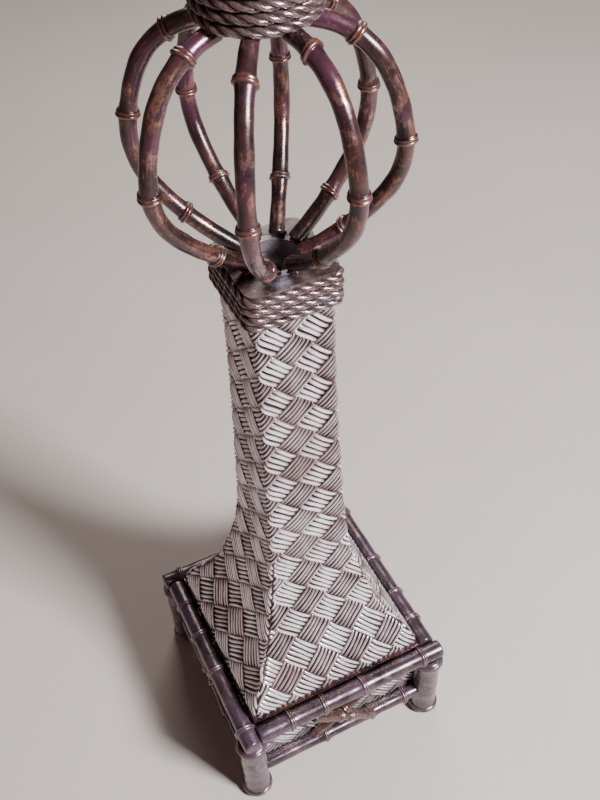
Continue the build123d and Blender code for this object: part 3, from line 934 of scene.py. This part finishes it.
# ---- Pieces kept as the CAD has them ------------------------------------------------------
KEPT_NODES = {              # material, and rounding of the edges in millimetres
    "head_dish": (DISH_PAINTED_LIGHT, 0.3),
    "top_plate": (CAST, 1.2),
    "crown_hub": (CAST, 1.0),
    "torch_cup": (STEEL, 0.5),
    "fuel_canister": (STEEL, 0.4),
    "burner_collar": (BRASS, 0.4),
    "snuffer_cap": (BRASS, 0.5),
    "wick": (COTTON, 0.5),
    "column_core": (TIMBER, 0),
    "deck_plate": (STEEL, 0),
    "closure_plate": (STEEL, 0.3),
    "tie_rod": (CAST, 0.2),
    "rod_nuts": (ZINC, 0.4),
    "rod_washer": (ZINC, 0.3),
    "closure_screws": (ZINC, 0.3),
    "glide_pads": (FELT, 0.4),
    **{f"corner_block_{corner}": (TIMBER, 0.3) for corner in CORNERS},
}


def finish_node(node, material, rounding):
    """Give a CAD node its material and soften its edges."""
    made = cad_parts[node]
    made.data.materials.clear()
    made.data.materials.append(material)
    if rounding:
        weld = made.modifiers.new("weld", "WELD")
        weld.merge_threshold = 0.00001
        bevel = made.modifiers.new("bevel", "BEVEL")
        bevel.width = rounding * MM
        bevel.segments = 4
        bevel.limit_method = "ANGLE"
        bevel.angle_limit = math.radians(40)
        bevel.harden_normals = True


def finish_nodes():
    """Materials and softened edges of the pieces that stay as they are."""
    for node, (material, rounding) in KEPT_NODES.items():
        finish_node(node, material, rounding)


# ---- Stage --------------------------------------------------------------------------------
# Everything here is in metres.
CAMERA_AT = (-0.14357, -0.34276, 0.70399)
CAMERA_YAW = math.radians(24.178)       # to the right of the +Y axis
CAMERA_DOWN = math.radians(46.562)
CAMERA_ROLL = math.radians(2.803)
CAMERA_LENS = 42.76         # millimetres, with a sensor SENSOR_HEIGHT millimetres tall
SENSOR_HEIGHT = 36
FLOOR_REACH = 4             # half the floor's width
FLOOR_COLOURS = [(0.3, (0.455, 0.400, 0.368)), (0.7, (0.490, 0.432, 0.398))]
SURROUND = (0.96, 0.82, 0.82, 1)
SURROUND_STRENGTH = 0.085
LIGHTS = (                  # name, place, aim, size, watts, colour
    ("key", (0.62, -1.05, 1.20), (0, 0, 0.3), 0.34, 82, (0.96, 0.97, 1.0)),
    ("fill", (-1.1, -0.3, 0.8), (0, 0, 0.3), 1.2, 1.2, (1.0, 0.42, 0.38)),
    ("rim", (0.5, 1.1, 1.2), (0, 0, 0.4), 0.8, 13, (1.0, 0.95, 0.9)),
)


def make_camera():
    """Camera at the reference viewing angle."""
    cy, sy = math.cos(CAMERA_YAW), math.sin(CAMERA_YAW)
    cd, sd = math.cos(CAMERA_DOWN), math.sin(CAMERA_DOWN)
    right = Vector((cy, -sy, 0))
    forward = Vector((sy * cd, cy * cd, -sd))
    up = right.cross(forward)
    cr, sr = math.cos(CAMERA_ROLL), math.sin(CAMERA_ROLL)
    across = right * cr - up * sr
    upward = right * sr + up * cr
    data = bpy.data.cameras.new("camera")
    data.sensor_fit = "VERTICAL"
    data.sensor_height = SENSOR_HEIGHT
    data.lens = CAMERA_LENS
    data.clip_start = 0.01
    data.dof.use_dof = False
    camera = bpy.data.objects.new("camera", data)
    camera.matrix_world = Matrix((
        (across.x, upward.x, -forward.x, CAMERA_AT[0]),
        (across.y, upward.y, -forward.y, CAMERA_AT[1]),
        (across.z, upward.z, -forward.z, CAMERA_AT[2]), (0, 0, 0, 1)))
    bpy.context.scene.collection.objects.link(camera)
    bpy.context.scene.camera = camera


def area_light(name, place, target, size, power, colour):
    """Square soft light aimed at a point."""
    data = bpy.data.lights.new(name, "AREA")
    data.size = size
    data.energy = power
    data.color = colour
    light = bpy.data.objects.new(name, data)
    light.location = place
    light.rotation_euler = (Vector(target) - Vector(place)).to_track_quat("-Z", "Y").to_euler()
    bpy.context.scene.collection.objects.link(light)


def make_stage():
    """Pale floor, soft lights and a dim, warm surround."""
    mesh = bpy.data.meshes.new("floor")
    far = FLOOR_REACH
    mesh.from_pydata([(-far, -far, 0), (far, -far, 0), (far, far, 0), (-far, far, 0)], [], [(0, 1, 2, 3)])
    floor = bpy.data.objects.new("floor", mesh)
    bpy.context.scene.collection.objects.link(floor)
    paint = Paint("floor", 0.0, 0.8)
    paint.colour(paint.ramp(paint.noise(3, 2), FLOOR_COLOURS))
    mesh.materials.append(paint.material)
    world = bpy.data.worlds.new("surround")
    world.use_nodes = True
    background = world.node_tree.nodes["Background"]
    background.inputs["Color"].default_value = SURROUND
    background.inputs["Strength"].default_value = SURROUND_STRENGTH
    bpy.context.scene.world = world
    for light in LIGHTS:
        area_light(*light)


make_weave()
make_plinth()
make_globe()
make_ropes()
finish_nodes()
make_camera()
make_stage()
